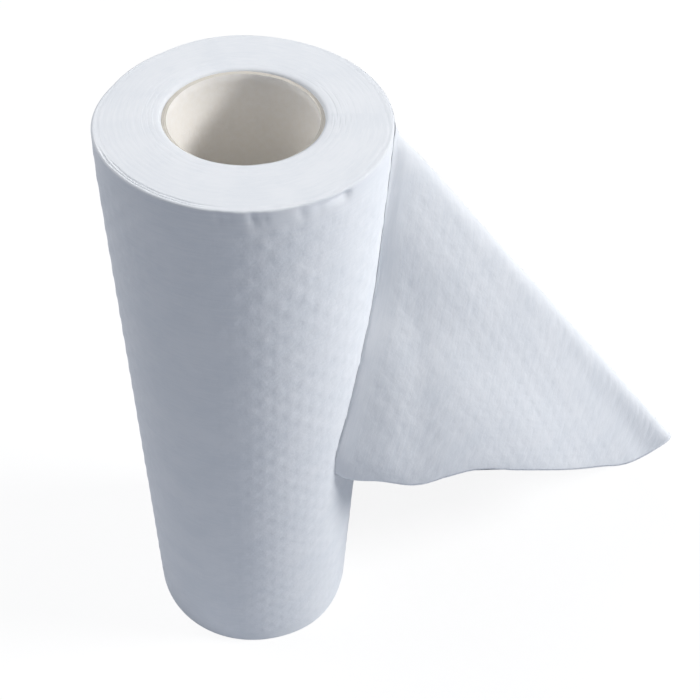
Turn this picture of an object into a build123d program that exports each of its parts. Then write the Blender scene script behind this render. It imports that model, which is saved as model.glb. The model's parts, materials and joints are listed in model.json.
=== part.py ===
from build123d import *
import math
import os

# Cleaning cloth roll standing on its end. Millimetres, +Z up.
# The origin is on the roll's axis, in the plane that it stands on.

# Roll
roll_radius = 43.5
roll_height = 250.0
turn_grooves = 5
groove_width = 1.2
groove_depth = 0.8

# Cardboard core
core_radius = 23.5
core_wall = 1.5
core_recess = 1.5
core_clearance = 0.05

# Loose end of the cloth: it leaves the back of the roll, stands on its lower edge,
# and its upper corner is folded forward over a slanting ridge
cloth_thickness = 0.8
tail_reach = 194.0
ridge_start_depth = -4.3
ridge_tip_depth = 21.8
ridge_tip_height = 61.0
corner_depth = -29.0
corner_height = 104.0
hem_tip_height = 46.0
hem_swell = 7.5
hem_lift = 4.0
face_swell = 3.6
face_swell_ends = 0.9
face_place = 0.4
foot_drift = 2.0
fold_stations = (0.0, 0.2, 0.4, 0.6, 0.8, 0.93, 1.0)
wrap_stations = (0.0, 0.45, 0.75, 0.93)

# Where the fold begins, just clear of the roll's side
fold_start = roll_radius + cloth_thickness
cloth_inner_radius = core_radius + core_clearance


def between(first, last, share):
    return first + (last - first) * share


def notched_run(z, inward):
    # One end face from the core out to the rim, with a shallow groove between turns
    points = [(cloth_inner_radius, z)]
    pitch = (roll_radius - cloth_inner_radius) / (turn_grooves + 1)
    for i in range(1, turn_grooves + 1):
        r = cloth_inner_radius + i * pitch
        points.append((r - groove_width / 2, z))
        points.append((r, z + inward * groove_depth))
        points.append((r + groove_width / 2, z))
    points.append((roll_radius, z))
    return points


def sheet_strip(x, *line):
    # Thin upright strip of cloth in the plane at x, along (y, z) points from its foot to its head
    half = cloth_thickness / 2
    front = [(y - half, z) for y, z in line]
    back = [(y + half, z) for y, z in line]
    with BuildSketch(Plane.YZ.offset(x)) as strip:
        with BuildLine():
            Polyline(*back, *reversed(front), close=True)
        make_face()
    return strip.sketch


def bow(share):
    # Nothing at both ends of a stretch and full in its middle
    return 4 * share * (1 - share)


def ridge_at(share):
    depth = between(ridge_start_depth, ridge_tip_depth, share)
    height = between(roll_height, ridge_tip_height, share)
    return (depth, height)


def hem_at(share):
    # The lower edge of the folded corner swells towards the front
    depth = between(corner_depth, ridge_tip_depth, share) - hem_swell * bow(share)
    height = between(corner_height, hem_tip_height, share) + hem_lift * bow(share)
    return (depth, height)


def face_at(share):
    # The folded corner's own swell, a little below the middle between its edge and the ridge
    hem, ridge = hem_at(share), ridge_at(share)
    depth = between(hem[0], ridge[0], face_place) - between(face_swell_ends, face_swell, bow(share))
    return (depth, between(hem[1], ridge[1], face_place))


foot_depth = roll_radius - cloth_thickness / 2

# Cardboard core, set a little below the cloth at the top
with BuildPart() as core_tube:
    with BuildSketch():
        Circle(core_radius)
        Circle(core_radius - core_wall, mode=Mode.SUBTRACT)
    extrude(amount=roll_height - core_recess)

# Upright stretch of the loose end: beside the roll, where it comes away from the back of the turns,
# and then free, under the slanting ridge
upright_strips = []
for share in wrap_stations:
    x = share * roll_radius
    head_depth = math.sqrt(roll_radius**2 - x**2) - cloth_thickness / 2
    upright_strips.append(sheet_strip(x, (foot_depth, 0), (head_depth, roll_height)))
for share in fold_stations:
    x = between(fold_start, tail_reach, share)
    foot = (foot_depth + foot_drift * share, 0)
    upright_strips.append(sheet_strip(x, foot, ridge_at(share)))

# Corner folded forward over the ridge, hanging down beside the roll
folded_strips = []
for share in fold_stations[:-1]:
    x = between(fold_start, tail_reach, share)
    folded_strips.append(sheet_strip(x, hem_at(share), face_at(share), ridge_at(share)))

# Wound turns and the loose end, one continuous length of cloth
with BuildPart() as cloth_roll:
    with BuildSketch(Plane.XZ):
        with BuildLine():
            Polyline(*notched_run(0, 1), *reversed(notched_run(roll_height, -1)), close=True)
        make_face()
    revolve(axis=Axis.Z)
    loft(sections=upright_strips, ruled=True)
    loft(sections=folded_strips, ruled=True)

os.makedirs("parts", exist_ok=True)
core_tube.part.label = "core_tube"
export_step(core_tube.part, "parts/core_tube.step")
cloth_roll.part.label = "cloth_roll"
export_step(cloth_roll.part, "parts/cloth_roll.step")
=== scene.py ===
import json
import math
import bpy
import numpy as np
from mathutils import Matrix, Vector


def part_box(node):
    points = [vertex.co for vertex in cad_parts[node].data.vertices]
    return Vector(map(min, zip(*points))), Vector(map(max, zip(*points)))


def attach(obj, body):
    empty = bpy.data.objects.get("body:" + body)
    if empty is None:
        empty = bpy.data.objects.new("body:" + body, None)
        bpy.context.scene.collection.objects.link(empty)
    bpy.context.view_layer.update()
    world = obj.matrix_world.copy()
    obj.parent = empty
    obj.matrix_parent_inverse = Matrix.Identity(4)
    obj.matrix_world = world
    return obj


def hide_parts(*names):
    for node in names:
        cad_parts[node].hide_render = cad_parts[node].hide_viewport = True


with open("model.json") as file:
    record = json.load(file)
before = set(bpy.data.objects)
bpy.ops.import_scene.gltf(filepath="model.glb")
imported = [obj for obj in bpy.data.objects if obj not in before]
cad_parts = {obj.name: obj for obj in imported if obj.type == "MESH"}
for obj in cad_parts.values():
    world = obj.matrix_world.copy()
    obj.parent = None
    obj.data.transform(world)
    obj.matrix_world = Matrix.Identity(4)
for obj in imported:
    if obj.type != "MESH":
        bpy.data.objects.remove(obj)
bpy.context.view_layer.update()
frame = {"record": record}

mm = 0.001  # shapes are worked out in millimetres and scaled once, when a mesh is made
perMetre = 1000  # a pattern's size in mm is turned into repeats in a metre
fullTurn = 2 * math.pi
nearZero = 0.01  # what counts as nothing, in mm or as a share
hair = 1e-6  # keeps a division from failing, and a place just short of the spiral's step

# sizes that the CAD model settles
rollLow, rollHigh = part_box("cloth_roll")
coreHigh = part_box("core_tube")[1]
rollRadius = -rollLow[0] / mm  # the loose end leaves on +X, so -X shows the roll alone
rollHeight = rollHigh[2] / mm
coreRadius = coreHigh[0] / mm
coreHeight = coreHigh[2] / mm
coreBore = next(m for m in frame["record"]["mounts"] if m["name"] == "core_bore")["dims"]["r_mm"]
coreWall = coreRadius - coreBore
print("sizes from the frame, mm:", round(rollRadius, 2), round(rollHeight, 2), round(coreRadius, 2))


def hexColour(code):
    parts = [int(code[i:i + 2], 16) / 255 for i in (1, 3, 5)]
    return tuple(c / 12.92 if c <= 0.04045 else ((c + 0.055) / 1.055) ** 2.4 for c in parts) + (1.0,)


def addNode(tree, kind, inputs=None, **settings):
    node = tree.nodes.new(kind)
    for name, value in settings.items():
        setattr(node, name, value)
    for key, value in (inputs or {}).items():
        if isinstance(value, bpy.types.NodeSocket):
            tree.links.new(value, node.inputs[key])
        else:
            node.inputs[key].default_value = value
    return node


def newMaterial(name):
    material = bpy.data.materials.new(name)
    material.use_nodes = True
    material.node_tree.nodes.clear()
    return material, material.node_tree


def newTree(name, sizes):
    tree = bpy.data.node_groups.new(name, "GeometryNodeTree")
    for size, kind in sizes.items():
        tree.interface.new_socket(size, in_out="INPUT", socket_type="NodeSocket" + kind)
    tree.interface.new_socket("Geometry", in_out="OUTPUT", socket_type="NodeSocketGeometry")
    return tree, addNode(tree, "NodeGroupInput").outputs


def endTree(tree, shape, material):
    real = addNode(tree, "GeometryNodeRealizeInstances", {"Geometry": shape})
    finished = addNode(tree, "GeometryNodeSetMaterial", {"Geometry": real.outputs[0], "Material": material})
    addNode(tree, "NodeGroupOutput", {"Geometry": finished.outputs[0]})


def addTree(piece, tree, **sizes):
    modifier = piece.modifiers.new(tree.name, "NODES")
    modifier.node_group = tree
    for item in tree.interface.items_tree:
        if item.in_out == "INPUT" and item.name in sizes:
            modifier[item.identifier] = sizes[item.name]


def bakeModifiers(piece):
    bpy.context.view_layer.update()
    graph = bpy.context.evaluated_depsgraph_get()
    shape = piece.evaluated_get(graph)
    baked = bpy.data.meshes.new_from_object(shape, preserve_all_data_layers=True, depsgraph=graph)
    piece.modifiers.clear()
    piece.data = baked
    baked.name = piece.name


def smoothThrough(knots, values, at):
    # a smooth line through a few points: cubic pieces that share their slopes
    knots, values, at = np.asarray(knots, float), np.asarray(values, float), np.asarray(at, float)
    slopes = np.gradient(values, knots, axis=0)
    i = np.clip(np.searchsorted(knots, at) - 1, 0, len(knots) - 2)
    span = (knots[i + 1] - knots[i])[..., None]
    t = (at - knots[i])[..., None] / span
    return ((2 * t**3 - 3 * t**2 + 1) * values[i] + (t**3 - 2 * t**2 + t) * span * slopes[i]
            + (3 * t**2 - 2 * t**3) * values[i + 1] + (t**3 - t**2) * span * slopes[i + 1])


def runAlong(*steps):
    # length from the first point to each point
    return np.append(0, np.cumsum(np.linalg.norm(np.stack(steps, -1), axis=-1)))


def gridPiece(name, points, flat, wrapU=False, wrapV=False, flatTurn=0.0, flatEnd=0.0, marks=None):
    # points[u, v] in mm; a wrapped grid closes without a seam, and its last strip has its own flat places
    countU, countV = points.shape[:2]
    index = np.arange(countU * countV).reshape(countU, countV)
    u = np.arange(countU if wrapU else countU - 1)
    v = np.arange(countV if wrapV else countV - 1)
    uNext, vNext = (u + 1) % countU, (v + 1) % countV
    corners = [index[np.ix_(i, j)] for i, j in ((u, v), (uNext, v), (uNext, vNext), (u, vNext))]
    quads = np.stack(corners, -1).reshape(-1, 4)
    mesh = bpy.data.meshes.new(name)
    mesh.from_pydata((points.reshape(-1, 3) * mm).tolist(), [], quads.tolist())
    places = flat.reshape(-1, 2)[quads]
    if wrapU:
        last = np.repeat(u == countU - 1, len(v))
        places[last, 1, 0] += flatTurn
        places[last, 2, 0] += flatTurn
    if wrapV:
        last = np.tile(v == countV - 1, len(u))
        places[last, 2, 1] += flatEnd
        places[last, 3, 1] += flatEnd
    mesh.uv_layers.new(name="unrolled").data.foreach_set("uv", (places * mm).astype(np.float32).ravel())
    for mark, values in (marks or {}).items():
        marked = mesh.attributes.new(mark, "FLOAT", "POINT")
        marked.data.foreach_set("value", values.astype(np.float32).ravel())
    mesh.shade_smooth()
    piece = bpy.data.objects.new(name, mesh)
    bpy.context.scene.collection.objects.link(piece)
    return piece


# The embossing rollers raise soft pillows in staggered rows. The mesh carries them, and the material adds
# the web's mottle.
clothEmboss = dict(
    pillowsAround=31, pitchUp=9.53, height=0.17, plainEdge=6.0,
    pillowFoot=0.8, pillowCrown=1.95,  # where the sum of two waves starts to rise and where it levels off
    patch=14.0, patchWeak=0.35, patchStrong=1.2,  # the soft web takes the pattern unevenly, in patches
)
pitchAround = fullTurn * rollRadius / clothEmboss["pillowsAround"]  # a whole number of pillows round the roll

# Spunlaced viscose and polyester nonwoven, bonded with water jets and then embossed between rollers: a matt,
# slightly cool white with fibres that lie mostly along the web, a faint cloudiness and a soft bloom at
# grazing angles.
clothFinish = dict(
    light="#f4f6f8", shade="#eef1f4", roughness=0.88, sheen=0.04,
    fibreWide=0.7, fibreLong=9.0,  # mm; real fibres are 0.02 mm, drawn as coarse bundles so that they show
    fibreHeight=0.02, cloud=16.0, mottle=2.2, mottleHeight=0.11,
)


def nonwovenCloth():
    finish = clothFinish
    material, tree = newMaterial("spunlacedNonwoven")
    flat = addNode(tree, "ShaderNodeUVMap", uv_map="unrolled").outputs["UV"]
    # one unit of each pattern is one fibre bundle, one cloud or one fleck of the mottle
    bundle = (perMetre / finish["fibreLong"], perMetre / finish["fibreWide"], 1)
    along = addNode(tree, "ShaderNodeMapping", {"Vector": flat, "Scale": bundle})
    fibres = addNode(tree, "ShaderNodeTexNoise", {
        "Vector": along.outputs[0], "Scale": 1.0, "Detail": 4.0, "Roughness": 0.62, "Distortion": 0.6,
    }, noise_dimensions="2D")
    clouds = addNode(tree, "ShaderNodeTexNoise", {
        "Vector": flat, "Scale": perMetre / finish["cloud"], "Detail": 3.0,
    }, noise_dimensions="2D")
    mottle = addNode(tree, "ShaderNodeTexNoise", {
        "Vector": flat, "Scale": perMetre / finish["mottle"], "Detail": 2.0, "Roughness": 0.5,
    }, noise_dimensions="2D")
    both = addNode(tree, "ShaderNodeMath", {
        0: fibres.outputs["Fac"], 1: clouds.outputs["Fac"]}, operation="ADD")
    spread = addNode(tree, "ShaderNodeMapRange", {
        "Value": both.outputs[0], "From Min": 0.75, "From Max": 1.2})
    ramp = addNode(tree, "ShaderNodeValToRGB", {"Fac": spread.outputs[0]})
    ramp.color_ramp.elements[0].color = hexColour(finish["shade"])
    ramp.color_ramp.elements[1].color = hexColour(finish["light"])
    # heights are in mm
    share = addNode(tree, "ShaderNodeAttribute", attribute_name="embossShare")
    uneven = addNode(tree, "ShaderNodeMath", {
        0: mottle.outputs["Fac"], 1: finish["mottleHeight"]}, operation="MULTIPLY")
    uneven = addNode(tree, "ShaderNodeMath", {
        0: uneven.outputs[0], 1: share.outputs["Fac"]}, operation="MULTIPLY")
    height = addNode(tree, "ShaderNodeMath", {
        0: fibres.outputs["Fac"], 1: finish["fibreHeight"], 2: uneven.outputs[0]}, operation="MULTIPLY_ADD")
    bump = addNode(tree, "ShaderNodeBump", {"Height": height.outputs[0], "Strength": 1.0, "Distance": mm})
    shader = addNode(tree, "ShaderNodeBsdfPrincipled", {
        "Base Color": ramp.outputs["Color"], "Roughness": finish["roughness"], "IOR": 1.5,
        "Specular IOR Level": 0.2, "Sheen Weight": finish["sheen"], "Sheen Roughness": 0.5,
        "Normal": bump.outputs[0]})
    addNode(tree, "ShaderNodeOutputMaterial", {"Surface": shader.outputs[0]})
    return material


clothMaterial = nonwovenCloth()
print("cloth material made")


def embossTree():
    tree, sizes = newTree("embossedCloth", {
        "Geometry": "Geometry", "Pitch Around": "Float", "Pitch Up": "Float", "Height": "Float",
        "Material": "Material"})
    waves = []
    for place, pitch in (("flatAround", "Pitch Around"), ("flatUp", "Pitch Up")):
        at = addNode(tree, "GeometryNodeInputNamedAttribute", {"Name": place}, data_type="FLOAT")
        turns = addNode(tree, "ShaderNodeMath", {
            0: at.outputs["Attribute"], 1: sizes[pitch]}, operation="DIVIDE")
        angle = addNode(tree, "ShaderNodeMath", {0: turns.outputs[0], 1: fullTurn}, operation="MULTIPLY")
        waves.append(addNode(tree, "ShaderNodeMath", {0: angle.outputs[0]}, operation="COSINE").outputs[0])
    total = addNode(tree, "ShaderNodeMath", {0: waves[0], 1: waves[1]}, operation="ADD")
    strong = addNode(tree, "ShaderNodeMath", {0: total.outputs[0]}, operation="ABSOLUTE")
    pillow = addNode(tree, "ShaderNodeMapRange", {
        "Value": strong.outputs[0],
        "From Min": clothEmboss["pillowFoot"], "From Max": clothEmboss["pillowCrown"],
    }, interpolation_type="SMOOTHSTEP")
    uneven = addNode(tree, "ShaderNodeTexNoise", {"Scale": perMetre / clothEmboss["patch"], "Detail": 2.0})
    strength = addNode(tree, "ShaderNodeMapRange", {
        "Value": uneven.outputs["Fac"], "From Min": 0.3, "From Max": 0.7,
        "To Min": clothEmboss["patchWeak"], "To Max": clothEmboss["patchStrong"]})
    share = addNode(tree, "GeometryNodeInputNamedAttribute", {"Name": "embossShare"}, data_type="FLOAT")
    lift = pillow.outputs[0]
    for factor in (sizes["Height"], strength.outputs[0], share.outputs["Attribute"]):
        lift = addNode(tree, "ShaderNodeMath", {0: lift, 1: factor}, operation="MULTIPLY").outputs[0]
    normal = addNode(tree, "GeometryNodeInputNormal")
    offset = addNode(tree, "ShaderNodeVectorMath", {0: normal.outputs[0], "Scale": lift}, operation="SCALE")
    moved = addNode(tree, "GeometryNodeSetPosition", {
        "Geometry": sizes["Geometry"], "Offset": offset.outputs[0]})
    endTree(tree, moved.outputs[0], sizes["Material"])
    return tree


embossRollers = embossTree()
embossSizes = {
    "Pitch Around": pitchAround * mm, "Pitch Up": clothEmboss["pitchUp"] * mm,
    "Height": clothEmboss["height"] * mm, "Material": clothMaterial}


def plainEdges(up):
    # the web's two edges run outside the rollers' pattern, which fades in from half of the plain edge's width
    return np.clip(np.minimum(up, rollHeight - up) / clothEmboss["plainEdge"] - 0.5, 0, 1)


# The wound turns: one soft cylinder, a little out of round, with the edges of the turns on both end faces.
rollShape = dict(
    around=300, sideRows=208, rimRows=24, faceRings=27, edgeRings=12, arcPoints=7, boreRows=8,
    coreGap=0.05, rimRound=0.7, rimBand=1.8, rimZone=9.0,  # the rim's finer rings and rows, inwards and down
    turn=0.35, outOfRound=0.1,
    # waves round the roll that make it out of round: count, start, twist from foot to top, share
    lumps=((2, 0.6, 0, 1.0), (3, 0, 2, 0.6), (5, 0, -3, 0.4)),
    # the last few turns are looser at the back, so the upper end draws in there, and the foot swells in front
    drawIn=dict(deep=2.9, angle=143, wide=34, high=22),
    footSwell=dict(out=1.4, angle=-48, wide=24, high=28),
    # turn edges: clear wavy rings by the core, faint ones further out, and a soft shoulder down to the core
    coreRings=0.05, outerRings=0.02, ringPitch=1.75, ringsClear=(0.125, 0.4375),
    ringWander=((3, 1, 0.5), (7, 0, 0.35), (13, 2, 0.2)),  # count, start, mm
    boreNear=0.1, boreFar=0.7, boreRun=0.6,
    pit=dict(angle=-52.3, below=2.2, deep=1.0, left=6.0, right=1.6, above=1.2, under=1.6),
    # short creases under the near rim: angle, depth in mm, half width in degrees
    creases=((-100, 0.45, 1.1), (-96.5, 0.3, 1.6), (-88, 0.55, 1.4), (-84.5, 0.25, 1.2),
             (-71, 0.3, 1.5), (-64, 0.22, 1.8), (-52, 0.2, 1.5)),
    creaseBelow=2.6, creaseHigh=2.4, creaseLean=0.25,
    # gaps between the outermost turns: distance from the rim, depth, half width, first and last angle
    gaps=((1.0, 0.36, 0.2, -162, -100), (1.75, 0.3, 0.2, -155, -96)),
    gapFade=12, gapRagged=0.12, gapWaves=(19, 8),
)


def windingRadius(a, z):
    # a spiral: one thickness less just past the place at the back where the loose end leaves
    wound = ((math.pi / 2 - a) / fullTurn) % 1
    lumps = sum(share * np.cos(count * a + start + twist * z / rollHeight)
                for count, start, twist, share in rollShape["lumps"])
    return rollRadius - rollShape["turn"] * (1 - wound) + rollShape["outOfRound"] * lumps


def woundCloth():
    size = rollShape
    angle = np.linspace(0, fullTurn, size["around"], endpoint=False)
    inner, outer, top, rim = coreRadius + size["coreGap"], rollRadius, rollHeight, size["rimRound"]
    arc = np.linspace(0, math.pi / 2, size["arcPoints"])[1:-1]
    edge, zone = outer - rim - size["rimBand"], top - size["rimZone"]
    footRadii = np.append(np.linspace(inner, edge, size["faceRings"]), outer - rim)
    faceRadii = np.append(footRadii[:-1], np.linspace(edge, outer - rim, size["edgeRings"])[1:])
    upperRows = np.linspace(zone, top - rim, size["rimRows"])[1:]
    sideUp = np.append(np.linspace(rim, zone, size["sideRows"]), upperRows)
    wallUp = np.linspace(top, 0, size["boreRows"])[1:-1]
    # once round the section: foot, lower rim, side, upper rim, top face and bore
    radius = np.concatenate([
        footRadii, outer - rim + rim * np.sin(arc), np.full(len(sideUp), outer),
        outer - rim + rim * np.cos(arc), faceRadii[::-1], np.full(len(wallUp), inner)])
    up = np.concatenate([
        np.zeros(len(footRadii)), rim - rim * np.cos(arc), sideUp,
        top - rim + rim * np.sin(arc), np.full(len(faceRadii), top), wallUp])
    run = runAlong(np.diff(radius), np.diff(up))
    onSide = np.clip((radius - outer + rim) / rim, 0, 1)

    a, r = np.meshgrid(angle, radius, indexing="ij")
    z = np.tile(up, (len(angle), 1))
    side = np.tile(onSide, (len(angle), 1))
    degrees = np.degrees((a + math.pi) % fullTurn - math.pi)

    def near(centre, wide):
        return np.exp(-(((degrees - centre + 180) % 360 - 180) / wide) ** 2)

    fromTop = top - z
    onTop = (fromTop < nearZero) & (side < nearZero)
    onFoot = (z < nearZero) & (side < nearZero)
    carry = np.clip((r - inner) / (outer - rim - inner), 0, 1) ** 4  # the end faces go along with the side
    r = r + (windingRadius(a, z) - outer) * carry
    drawIn, swell = size["drawIn"], size["footSwell"]
    upper = np.clip(1 - fromTop / drawIn["high"], 0, 1) ** 2
    lower = np.clip(1 - z / swell["high"], 0, 1) ** 2
    r = r - drawIn["deep"] * carry * near(drawIn["angle"], drawIn["wide"]) * upper
    r = r + swell["out"] * carry * near(swell["angle"], swell["wide"]) * lower

    share, pitch = (r - inner) / (outer - inner), size["ringPitch"]
    wander = sum(high * np.sin(count * a + start) for count, start, high in size["ringWander"])
    rings = np.sin(fullTurn * (r + wander + a / fullTurn * pitch) / pitch)
    clearTo, clearEnd = size["ringsClear"]
    clearRings = np.clip((clearEnd - share) / (clearEnd - clearTo), 0, 1)
    height = size["outerRings"] + (size["coreRings"] - size["outerRings"]) * clearRings
    deep = size["boreNear"] + (size["boreFar"] - size["boreNear"]) * (0.5 + 0.5 * np.sin(a))
    shoulder = deep * np.exp(-(r - inner) / size["boreRun"])
    z = z + onTop * (height * (rings - 1) - shoulder)
    z = z + onFoot * (height * (1 - rings) + shoulder)

    # dent under the rim, gaps between the outermost turns, and creases
    pit, inset = size["pit"], windingRadius(a, z) - r
    drop = fromTop - pit["below"]
    wide = np.degrees(np.where(degrees > pit["angle"], pit["right"], pit["left"]) / outer)
    tall = np.where(drop < 0, pit["above"], pit["under"])
    r = r - pit["deep"] * side * near(pit["angle"], wide) * np.exp(-(drop / tall) ** 2)
    for at, deep, wide, first, last in size["gaps"]:
        turned = (degrees - first) % 360
        fromFirst, fromLast = turned / size["gapFade"], (last - first - turned) / size["gapFade"]
        reach = np.clip(fromFirst, 0, 1) * np.clip(fromLast, 0, 1)
        fine, slow = size["gapWaves"]
        ragged = at + size["gapRagged"] * np.sin(fine * a) * np.sin(slow * a + at)
        z = z - onTop * deep * reach * np.exp(-((inset - ragged) / wide) ** 2)
    underRim = side * np.exp(-((fromTop - size["creaseBelow"]) / size["creaseHigh"]) ** 2)
    for at, deep, wide in size["creases"]:
        r = r - deep * near(at + size["creaseLean"] * fromTop, wide) * underRim

    points = np.stack([r * np.cos(a), r * np.sin(a), np.clip(z, 0, None)], -1)
    flatAround = (math.pi / 2 - a) * rollRadius  # the web winds clockwise, seen from above
    flatUp = run - run[len(footRadii) + len(arc)] + rim
    flat = np.stack([-flatAround, np.tile(flatUp, (len(angle), 1))], -1)
    emboss = (side > 1 - nearZero) * plainEdges(z)
    marks = {"flatAround": flatAround * mm, "flatUp": z * mm, "embossShare": emboss}
    return gridPiece("wound_cloth", points, flat, True, True, fullTurn * rollRadius, coreRadius, marks)


woundPiece = woundCloth()
addTree(woundPiece, embossRollers, **embossSizes)
bakeModifiers(woundPiece)
print("wound cloth:", len(woundPiece.data.polygons), "faces")


# The loose end: it leaves the back of the roll, stands on its lower edge and has its upper corner folded
# forward.
looseEnd = dict(
    overlap=12.0, length=200.0, step=1.1, clear=0.12, floorClear=0.1, emboss=0.9,
    thickness=0.3, edgeSteps=1.6, onEdge=0.1, nearEdgeThick=0.6, edgeThick=0.15,
    ridgeStart=(43.0, -4.3, 249.6), ridgeTip=(194.9, 22.0, 59.1), tipHeight=66.0, tipBlunt=0.004,
    foldRound=3.6, foldTurn=60,
    # upright ply: where its foot and head stand, and how deep its last turn sinks into the roll
    footDrift=2.0, footShare=0.985, footWave=0.5, footWaves=14, rimBelow=0.3, lapSink=1.0,
    headJoins=12,  # its head leaves the rim for the fold over the first twelfth of the fold
    # the folded corner's lower edge from the roll to just before the tip, given to half a millimetre:
    # a rounded corner, a low belly, a step up, a long straight run and a curl
    hem=((31.5, -31, 112.5), (36, -31, 108.5), (49, -30, 104.5), (67, -26.5, 96.5), (76, -24.5, 97.5),
         (86.5, -21.5, 97), (110.5, -14, 85.5), (156, 4.5, 59), (175, 12, 50.5), (188, 18, 51.5)),
    # where its upper edge lies on the roll's side: share of the way down, angle, height
    sideEdge=((0.18, -15, 226), (0.42, -20, 193), (0.6, -29, 172), (0.8, -38, 146), (0.93, -45, 124)),
    bulge=2.6,
    # by the roll the fold flattens: parts of the fold past its start and before it, mm to front and back
    flatten=dict(past=16, before=9, front=4, back=12),
    smoothRounds=40, foldBlend=0.35, foldBlendWide=5.0,
    # slow waves: height, mm for one radian, how far from the roll they start and grow, and from the floor
    wave=0.45, waveRuns=(17, 23, 29, 41), waveClear=3, waveGrow=12, waveFoot=20,
    rimHold=4, rimReach=2.5, rimMost=0.95,  # the last turn is held to the rim up to here before the fold
    edgeDrawn=8.0, drawnFull=30, drawnEnd=45, drawnGap=3.0,  # how the corner's edge is drawn to the roll
)


def looseCloth():
    size, top, radius = looseEnd, rollHeight, rollRadius
    length, tipUp = size["length"], size["tipHeight"]
    start, tip = np.array(size["ridgeStart"]), np.array(size["ridgeTip"])
    leave = radius * (math.pi / 2 - math.atan2(start[1], start[0]))  # along the top edge to the fold's start
    s = np.linspace(-size["overlap"], length, round((length + size["overlap"]) / size["step"]) + 1)
    w = np.linspace(0, top, round(top / size["step"]) + 1)
    s, w = np.meshgrid(s, w, indexing="ij")

    # the fold's line in the flat cloth, and how far each point is past it and along it
    foldRun = np.array([length - leave, tipUp - top])
    foldLong = np.hypot(*foldRun)
    fromFold = (-(s - leave) * foldRun[1] + (w - top) * foldRun[0]) / foldLong
    alongFold = ((s - leave) * foldRun[0] + (w - top) * foldRun[1]) / foldLong ** 2
    # the fold itself is a soft roll: up over its crest, then to the front
    axis = (tip - start) / np.linalg.norm(tip - start)
    crest = np.array([0, 0, 1]) - axis[2] * axis
    crest /= np.linalg.norm(crest)
    front = np.cross(axis, crest)
    bend = size["foldRound"]
    half = bend * math.radians(size["foldTurn"])  # cloth taken up on each side of the crest

    def firstAlong(past):
        return past * foldRun[0] / (-foldRun[1] * foldLong)

    def lastAlong(past):
        return 1 + past * foldRun[1] / (foldRun[0] * foldLong)

    def onFold(along, past):
        # lines in front start at the cloth's upper edge, and all end level with the tip, which is blunt
        past = np.clip(past, -half, half)
        first, last = firstAlong(np.maximum(past, 0)), lastAlong(past)
        end = 1 - size["tipBlunt"] * np.clip(past / half, 0, 1)
        along = first + (along - first) * (end - first) / (last - first)
        angle = past / bend
        bent = (np.cos(angle) - 1)[..., None] * crest + np.sin(angle)[..., None] * front
        return start + along[..., None] * (tip - start) + bend * bent

    # upright ply: straight from its foot on the floor to the roll's rim or to the back of the fold
    free = np.clip(s / length, 0, 1)
    footDepth = windingRadius(math.pi / 2 - hair, 0) + size["clear"] + size["footDrift"] * free
    footDepth = footDepth + size["footWave"] * np.sin(free * size["footWaves"]) * free
    foot = np.stack([s * size["footShare"], footDepth, 0 * s], -1)
    past = np.clip((s - leave) / (length - leave), 0, 1)
    joins = np.clip(past * size["headJoins"], 0, 1)
    reach = top - past * (top - tipUp) - half * foldLong / foldRun[0] * joins
    rimUp = top - size["rimBelow"]
    rimAngle = math.pi / 2 - np.clip(s, 0, leave) / radius
    rimRadius = windingRadius(rimAngle, top) + size["clear"]
    rim = np.stack([rimRadius * np.cos(rimAngle), rimRadius * np.sin(rimAngle), 0 * s + rimUp], -1)
    backAlong = ((s - leave) * foldRun[0] + (reach - top) * foldRun[1]) / foldLong ** 2
    back = onFold(np.maximum(backAlong, 0), np.full(s.shape, -half))
    head = rim + joins[..., None] * (back - rim)
    upright = foot + (w / reach)[..., None] * (head - foot)
    # overlap: the last turn still lies on the roll and runs into it
    lapAngle = math.pi / 2 - s / radius
    sunk = windingRadius(lapAngle, w) - rollShape["turn"] + size["clear"]
    sunk = sunk - size["lapSink"] * np.clip(-s / size["overlap"], 0, 1)
    wound = np.stack([sunk * np.cos(lapAngle), sunk * np.sin(lapAngle), w * rimUp / top], -1)
    upright = np.where((s < 0)[..., None], wound, upright)

    # folded corner: weights of the fold's start, its tip and the cloth's own corner, from the fold's front
    startRun = leave + half * foldLong / -foldRun[1]
    endUp = tipUp + half * foldLong / foldRun[0]
    toStart = (length - s) / (length - startRun)
    toTip = (top - w) / (top - endUp)
    toCorner = 1 - toStart - toTip
    foldStart = onFold(np.array(firstAlong(half)), np.array(half))
    foldTip = onFold(np.array(lastAlong(half)), np.array(half))
    hem = np.vstack([size["hem"], foldTip])
    hemRun = runAlong(*np.diff(hem, axis=0).T)
    corner = hem[0]
    along = np.clip(toTip / np.maximum(toTip + toCorner, hair), 0, 1)
    hemLine = corner + along[..., None] * (foldTip - corner)
    hemShift = smoothThrough(hemRun / hemRun[-1], hem, along) - hemLine
    folded = toStart[..., None] * foldStart + toTip[..., None] * foldTip + toCorner[..., None] * corner
    folded = folded + (np.clip(1 - toStart, 0, 1) ** 2)[..., None] * hemShift
    side = np.vstack([size["sideEdge"], (1, math.degrees(math.atan2(corner[1], corner[0])), corner[2])])
    sideAngle = np.radians(side[:, 1])
    sideRadius = windingRadius(sideAngle, side[:, 2]) + size["clear"]
    sidePlace = np.stack([sideRadius * np.cos(sideAngle), sideRadius * np.sin(sideAngle), side[:, 2]], -1)
    sidePlace = np.vstack([foldStart, sidePlace])
    down = np.clip(toCorner / np.maximum(toStart + toCorner, hair), 0, 1)
    sideLine = foldStart + down[..., None] * (corner - foldStart)
    sideShift = smoothThrough(np.append(0, side[:, 0]), sidePlace, down) - sideLine
    folded = folded + (np.clip(1 - toTip, 0, 1) ** 3)[..., None] * sideShift
    # it stands forward between its edges, and the factor makes the highest place as high as bulge says
    swell = 18.75 * np.clip(toStart * toCorner, 0, 1) * np.clip(toTip, 0, 1) ** 0.7
    folded = folded + (size["bulge"] * swell)[..., None] * front

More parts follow.
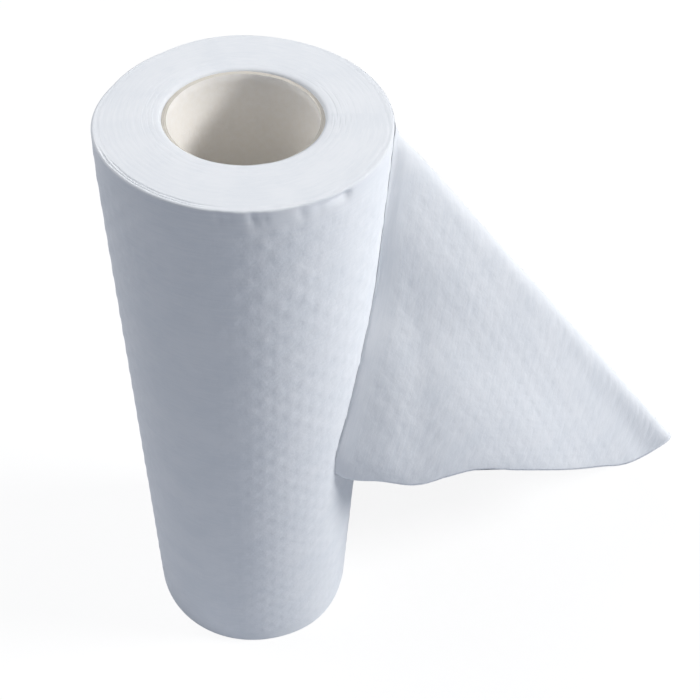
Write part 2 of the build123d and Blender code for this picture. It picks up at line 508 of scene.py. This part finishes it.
    rolled = onFold(alongFold, fromFold)
    points = np.where((fromFold > -half)[..., None], rolled, upright)
    points = np.where((fromFold > half)[..., None], folded, points)
    # by the roll the fold flattens into the turn that it comes from
    flatten = size["flatten"]
    begin = np.clip(1 - alongFold * flatten["past"], 0, 1) * np.clip(1 + alongFold * flatten["before"], 0, 1)
    begin = begin * (fromFold < half + flatten["front"]) * (fromFold > -half - flatten["back"])
    points = np.where(((fromFold > -half) & (alongFold < 0) & (s < leave))[..., None], upright, points)
    blend = size["foldBlend"] * np.exp(-((np.abs(fromFold) - half) / size["foldBlendWide"]) ** 2)
    loosen = np.maximum(begin, blend * (alongFold > 0))
    for _ in range(size["smoothRounds"]):
        middle = points.copy()
        middle[1:-1] = (points[:-2] + points[2:]) / 2
        across = middle.copy()
        across[:, 1:-1] = (middle[:, :-2] + middle[:, 2:]) / 2
        points = points + (0.5 * loosen)[..., None] * (across - points)

    # slow waves in the free cloth
    alongOne, upOne, upTwo, alongTwo = size["waveRuns"]
    wave = size["wave"] * np.sin(s / alongOne + w / upOne) * np.sin(w / upTwo - s / alongTwo + 1)
    away = np.hypot(points[..., 0], points[..., 1])
    wave = wave * np.clip((away - radius - size["waveClear"]) / size["waveGrow"], 0, 1)
    points[..., 1] += wave * np.clip(points[..., 2] / size["waveFoot"], 0, 1)
    # it lies on the roll and not in it, and round the shoulder of its rim
    angle = np.arctan2(points[..., 1], points[..., 0])
    shoulder = rollShape["rimRound"]
    overRim = np.clip((points[..., 2] - top + shoulder) / shoulder, 0, size["rimMost"])
    need = windingRadius(angle, points[..., 2]) - shoulder * (1 - np.sqrt(1 - overRim ** 2)) + size["clear"]
    held = (s < leave - size["rimHold"]) & (overRim > 0) & (away < need + size["rimReach"])
    onRoll = (s > 0) & ((away < need) | held)
    # the folded corner's upper edge is drawn to the roll where it starts
    drawnRun = np.clip((size["drawnEnd"] - (s - leave)) / (size["drawnEnd"] - size["drawnFull"]), 0, 1)
    drawn = (s > leave) * drawnRun * np.clip(fromFold / half, 0, 1)
    drawn = drawn * np.clip(size["drawnGap"] - (away - need), 0, 1)
    drawn = drawn * np.clip(1 - (top - w) / size["edgeDrawn"], 0, 1) ** 1.5
    points[..., :2] *= (1 + np.where(onRoll, 1, drawn) * (need / np.maximum(away, hair) - 1))[..., None]
    points[..., 2] = np.clip(points[..., 2], size["floorClear"], None)

    flat = np.stack([s, w], -1)
    marks = {"flatAround": s * mm, "flatUp": w * mm, "embossShare": plainEdges(w) * size["emboss"]}
    piece = gridPiece("loose_end", points, flat, marks=marks)
    # pressed thin at its edges
    body = piece.vertex_groups.new(name="fullThickness")
    fromEdge = np.minimum(np.minimum(w, top - w), length - s).ravel()
    inside = fromEdge > size["edgeSteps"] * size["step"]
    nearEdge = (fromEdge > size["onEdge"]) & ~inside
    body.add(np.flatnonzero(inside).tolist(), 1.0, "REPLACE")
    body.add(np.flatnonzero(nearEdge).tolist(), size["nearEdgeThick"], "REPLACE")
    return piece


loosePiece = looseCloth()
addTree(loosePiece, embossRollers, **embossSizes)
wall = loosePiece.modifiers.new("clothThickness", "SOLIDIFY")
wall.thickness = looseEnd["thickness"] * mm
wall.offset = 0
wall.vertex_group = "fullThickness"
wall.thickness_vertex_group = looseEnd["edgeThick"]
bakeModifiers(loosePiece)
print("loose end:", len(loosePiece.data.polygons), "faces")


# The turns' cut edges on the end faces: one spiral at each end, from the core to the rim.
turnEdges = dict(
    turns=20, perTurn=120, edgeRound=0.45, edgeSides=5, coreGap=2.0, inset=2.6, proud=0.008,
    wander=0.08, patch=9.0,  # the turns' edges don't lie quite level
)


def spiralTree():
    tree, sizes = newTree("turnEdges", {
        "Turns": "Float", "Points per Turn": "Int", "Inner Radius": "Float", "Outer Radius": "Float",
        "Height": "Float", "Edge Radius": "Float", "Wander": "Float", "Material": "Material"})
    spiral = addNode(tree, "GeometryNodeCurveSpiral", {
        "Resolution": sizes["Points per Turn"], "Rotations": sizes["Turns"],
        "Start Radius": sizes["Inner Radius"], "End Radius": sizes["Outer Radius"], "Height": 0.0})
    uneven = addNode(tree, "ShaderNodeTexNoise", {"Scale": perMetre / turnEdges["patch"], "Detail": 1.0})
    level = addNode(tree, "ShaderNodeMath", {0: uneven.outputs["Fac"], 1: 0.5}, operation="SUBTRACT")
    level = addNode(tree, "ShaderNodeMath", {0: level.outputs[0], 1: sizes["Wander"]}, operation="MULTIPLY")
    shift = addNode(tree, "ShaderNodeCombineXYZ", {"Z": level.outputs[0], "X": level.outputs[0]})
    wavy = addNode(tree, "GeometryNodeSetPosition", {
        "Geometry": spiral.outputs[0], "Offset": shift.outputs[0]})
    edge = addNode(tree, "GeometryNodeCurvePrimitiveCircle", {
        "Resolution": turnEdges["edgeSides"], "Radius": sizes["Edge Radius"]})
    body = addNode(tree, "GeometryNodeCurveToMesh", {
        "Curve": wavy.outputs[0], "Profile Curve": edge.outputs[0], "Fill Caps": True})
    joined = addNode(tree, "GeometryNodeJoinGeometry")
    for end in ("Edge Radius", "Height"):  # at the foot and at the top
        place = addNode(tree, "ShaderNodeCombineXYZ", {"Z": sizes[end]})
        spiralEnd = addNode(tree, "GeometryNodeTransform", {
            "Geometry": body.outputs[0], "Translation": place.outputs[0]})
        tree.links.new(spiralEnd.outputs[0], joined.inputs[0])
    smooth = addNode(tree, "GeometryNodeSetShadeSmooth", {"Geometry": joined.outputs[0]})
    endTree(tree, smooth.outputs[0], sizes["Material"])
    return tree


edgesPiece = bpy.data.objects.new("turn_edges", bpy.data.meshes.new("turn_edges"))
bpy.context.scene.collection.objects.link(edgesPiece)
edgesUp = rollHeight - rollShape["outerRings"] + turnEdges["proud"] - turnEdges["edgeRound"]
addTree(edgesPiece, spiralTree(), **{
    "Turns": float(turnEdges["turns"]), "Points per Turn": turnEdges["perTurn"],
    "Inner Radius": (coreRadius + turnEdges["coreGap"]) * mm,
    "Outer Radius": (rollRadius - turnEdges["inset"]) * mm,
    "Height": edgesUp * mm, "Edge Radius": turnEdges["edgeRound"] * mm,
    "Wander": turnEdges["wander"] * mm, "Material": clothMaterial})
bakeModifiers(edgesPiece)
print("turn edges:", len(edgesPiece.data.polygons), "faces")


# Spiral-wound greyboard tube with a paler liner: matt, warm, with a seam every lead and rough cut ends.
coreFinish = dict(
    board="#f6f2eb", pale="#f9f6f1", seam="#ebe4d8", cut="#d6cfc2", roughness=0.82,
    lead=112.0, seamWide=1.2, flake=2.2, flakeHeight=0.2,
)
coreShape = dict(
    around=160, wallRows=90, outerRows=12, rimRings=9, endBevel=0.2, rimBevel=0.15,
    seamDeep=0.22, seamHalf=1.3, rimRough=0.18, rimTorn=0.4, tornWaves=(9, 23), plies=3, cutShade=0.55,
    farLift=0.8, liftRun=20,  # not cut quite square
)


def woundBoard():
    finish = coreFinish
    material, tree = newMaterial("spiralWoundGreyboard")
    flat = addNode(tree, "ShaderNodeUVMap", uv_map="unrolled").outputs["UV"]
    flakes = addNode(tree, "ShaderNodeTexNoise", {
        "Vector": flat, "Scale": perMetre / finish["flake"], "Detail": 5.0, "Roughness": 0.6,
    }, noise_dimensions="2D")
    ramp = addNode(tree, "ShaderNodeValToRGB", {"Fac": flakes.outputs["Fac"]})
    for stop, place, colour in ((0, 0.3, "board"), (1, 0.7, "pale")):
        ramp.color_ramp.elements[stop].position = place
        ramp.color_ramp.elements[stop].color = hexColour(finish[colour])
    # the seam climbs one lead in a turn
    parts = addNode(tree, "ShaderNodeSeparateXYZ", {"Vector": flat})
    turns = addNode(tree, "ShaderNodeMath", {
        0: parts.outputs["X"], 1: 1 / (fullTurn * coreRadius * mm)}, operation="MULTIPLY")
    climb = addNode(tree, "ShaderNodeMath", {
        0: parts.outputs["Y"], 1: 1 / (finish["lead"] * mm), 2: turns.outputs[0]}, operation="MULTIPLY_ADD")
    saw = addNode(tree, "ShaderNodeMath", {0: climb.outputs[0], 1: 1.0}, operation="PINGPONG")
    line = addNode(tree, "ShaderNodeMapRange", {
        "Value": saw.outputs[0], "From Min": 0.0, "From Max": finish["seamWide"] / finish["lead"],
        "To Min": 0.7, "To Max": 0.0})
    seamed = addNode(tree, "ShaderNodeMixRGB", {
        "Fac": line.outputs[0], "Color1": ramp.outputs["Color"], "Color2": hexColour(finish["seam"])})
    cutEnd = addNode(tree, "ShaderNodeAttribute", attribute_name="cutEnd")
    mixed = addNode(tree, "ShaderNodeMixRGB", {
        "Fac": cutEnd.outputs["Fac"], "Color1": seamed.outputs[0], "Color2": hexColour(finish["cut"])})
    bump = addNode(tree, "ShaderNodeBump", {
        "Height": flakes.outputs["Fac"], "Strength": 0.4, "Distance": finish["flakeHeight"] * mm})
    shader = addNode(tree, "ShaderNodeBsdfPrincipled", {
        "Base Color": mixed.outputs[0], "Roughness": finish["roughness"], "Specular IOR Level": 0.25,
        "Normal": bump.outputs[0]})
    addNode(tree, "ShaderNodeOutputMaterial", {"Surface": shader.outputs[0]})
    return material


def coreTube():
    size, lead = coreShape, coreFinish["lead"]
    angle = np.linspace(0, fullTurn, size["around"], endpoint=False)
    low, high = size["endBevel"], coreHeight - size["endBevel"]
    wallUp = np.linspace(low, high, size["wallRows"])
    rimIn = np.linspace(coreRadius - size["rimBevel"], coreBore + size["rimBevel"], size["rimRings"])
    # once round the section: outside, upper cut end, bore and lower cut end
    radius = np.concatenate([
        np.full(size["outerRows"], coreRadius), rimIn, np.full(len(wallUp), coreBore), rimIn[::-1]])
    up = np.concatenate([
        np.linspace(low, high, size["outerRows"]), np.full(len(rimIn), coreHeight), wallUp[::-1],
        np.zeros(len(rimIn))])
    run = runAlong(np.diff(radius), np.diff(up))
    a, r = np.meshgrid(angle, radius, indexing="ij")
    z = np.tile(up, (len(angle), 1))
    wall = np.tile((radius < coreBore + nearZero).astype(float), (len(angle), 1))
    rim = np.tile((up >= coreHeight - nearZero).astype(float), (len(angle), 1))
    foot = np.tile((up < nearZero).astype(float), (len(angle), 1))
    climb = (z / lead + a / fullTurn) % 1
    seam = np.exp(-(np.minimum(climb, 1 - climb) * lead / size["seamHalf"]) ** 2)
    r = r + size["seamDeep"] * seam * wall
    plies = np.sin((r - coreBore) / coreWall * size["plies"] * math.pi) ** 2  # the plies show at the cut ends
    torn = size["rimTorn"] * (1 + np.sin(size["tornWaves"][0] * a) * np.sin(size["tornWaves"][1] * a + 1))
    z = z - rim * size["rimRough"] * (1 - plies + torn)
    lifted = np.clip((z - coreHeight + size["liftRun"]) / size["liftRun"], 0, 1)
    z = z + size["farLift"] * (0.5 + 0.5 * np.sin(a)) * lifted
    points = np.stack([r * np.cos(a), r * np.sin(a), z], -1)
    flat = np.stack([a * coreRadius, np.where(wall > 0, z, np.tile(run, (len(angle), 1)))], -1)
    cutEnd = np.maximum(rim, foot) * (size["cutShade"] + (1 - size["cutShade"]) * plies)
    marks = {"cutEnd": cutEnd}
    return gridPiece("wound_core", points, flat, True, True, fullTurn * coreRadius, coreWall, marks)


corePiece = coreTube()
corePiece.data.materials.append(woundBoard())
print("core:", len(corePiece.data.polygons), "faces")

shownNodes = (
    (woundPiece, "cloth_roll", "nonwoven_cloth"),
    (loosePiece, "cloth_roll", "nonwoven_cloth"),
    (edgesPiece, None, "nonwoven_cloth"),
    (corePiece, "core_tube", "cardboard"),
)
for piece, node, slotName in shownNodes:
    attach(piece, "root")
    if node:
        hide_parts(node)


# Studio: white floor and surround, a soft key from the right, a broad lamp high on the left and behind,
# a weak fill in front, and weak cool light from all round.
studio = dict(
    ambient="#dbe2f3", ambientLevel=0.226,
    floorHalf=6, floorColour="#d8dde6", floorShare=0.16,
    floorGlow=0.88, glowNear=0.4, glowFar=1.6,  # the floor's glow grows to white between these, in metres
    lampAim=0.12,  # height in metres that the lamps point at
    # angle round the roll from +X, height angle, distance, size across in metres, and power in watts
    lamps=dict(
        key=(-4, 34, 1.4, 0.4, 13.5),
        overhead=(150, 56, 1.4, 0.9, 8.0),
        fill=(-60, 25, 1.4, 0.5, 0.7),
    ),
)


# White paper sweep, matt. Rays that see it as a background find it near white, with a faint shadow.
def whiteFloor():
    material, tree = newMaterial("paperSweep")
    rays = addNode(tree, "ShaderNodeLightPath").outputs
    seen = rays["Is Camera Ray"]
    for kind in ("Is Glossy Ray", "Is Transmission Ray"):
        seen = addNode(tree, "ShaderNodeMath", {0: seen, 1: rays[kind]}, operation="MAXIMUM").outputs[0]
    paper = addNode(tree, "ShaderNodeBsdfDiffuse", {"Color": hexColour(studio["floorColour"])})
    faint = addNode(tree, "ShaderNodeBsdfDiffuse", {"Color": (studio["floorShare"],) * 3 + (1,)})
    place = addNode(tree, "ShaderNodeTexCoord")
    away = addNode(tree, "ShaderNodeVectorMath", {0: place.outputs["Object"]}, operation="LENGTH")
    level = addNode(tree, "ShaderNodeMapRange", {
        "Value": away.outputs["Value"], "From Min": studio["glowNear"], "From Max": studio["glowFar"],
        "To Min": studio["floorGlow"], "To Max": 1.0})
    glow = addNode(tree, "ShaderNodeEmission", {"Strength": level.outputs[0]})
    both = addNode(tree, "ShaderNodeAddShader", {0: faint.outputs[0], 1: glow.outputs[0]})
    mixed = addNode(tree, "ShaderNodeMixShader", {0: seen, 1: paper.outputs[0], 2: both.outputs[0]})
    addNode(tree, "ShaderNodeOutputMaterial", {"Surface": mixed.outputs[0]})
    return material


far = studio["floorHalf"]
floorMesh = bpy.data.meshes.new("floor")
floorMesh.from_pydata([(-far, -far, 0), (far, -far, 0), (far, far, 0), (-far, far, 0)], [], [(0, 1, 2, 3)])
floor = bpy.data.objects.new("floor", floorMesh)
floorMesh.materials.append(whiteFloor())
bpy.context.scene.collection.objects.link(floor)

world = bpy.data.worlds.new("softRoom")
world.use_nodes = True
roomTree = world.node_tree
roomTree.nodes.clear()
rays = addNode(roomTree, "ShaderNodeLightPath")
room = addNode(roomTree, "ShaderNodeBackground", {
    "Color": hexColour(studio["ambient"]), "Strength": studio["ambientLevel"]})
white = addNode(roomTree, "ShaderNodeBackground", {"Color": (1, 1, 1, 1), "Strength": 1.0})
chosen = addNode(roomTree, "ShaderNodeMixShader", {
    0: rays.outputs["Is Camera Ray"], 1: room.outputs[0], 2: white.outputs[0]})
addNode(roomTree, "ShaderNodeOutputWorld", {"Surface": chosen.outputs[0]})
bpy.context.scene.world = world

for lampName, (turn, lift, away, across, power) in studio["lamps"].items():
    lamp = bpy.data.lights.new(lampName, "AREA")
    lamp.shape = "DISK"
    lamp.size = across
    lamp.energy = power
    stand = bpy.data.objects.new(lampName, lamp)
    turn, lift = math.radians(turn), math.radians(lift)
    level, up = away * math.cos(lift), away * math.sin(lift) + studio["lampAim"]
    stand.location = (level * math.cos(turn), level * math.sin(turn), up)
    stand.rotation_euler = (0, math.pi / 2 - lift, turn)
    bpy.context.scene.collection.objects.link(stand)

# The camera stands over the roll, in front, where the roll's outline fits the photograph's.
photoCamera = dict(
    lens=48.90, sensor=36, shiftX=0.05, place=(0, -0.23147, 0.40853), turn=(41.705, -2.079, -3.631),
)
cameraData = bpy.data.cameras.new("camera")
cameraData.lens = photoCamera["lens"]
cameraData.sensor_width = photoCamera["sensor"]
cameraData.shift_x = photoCamera["shiftX"]
camera = bpy.data.objects.new("camera", cameraData)
camera.location = photoCamera["place"]
camera.rotation_euler = [math.radians(c) for c in photoCamera["turn"]]
bpy.context.scene.collection.objects.link(camera)
bpy.context.scene.camera = camera
bpy.context.scene.view_settings.view_transform = "Standard"
print("studio and camera set")
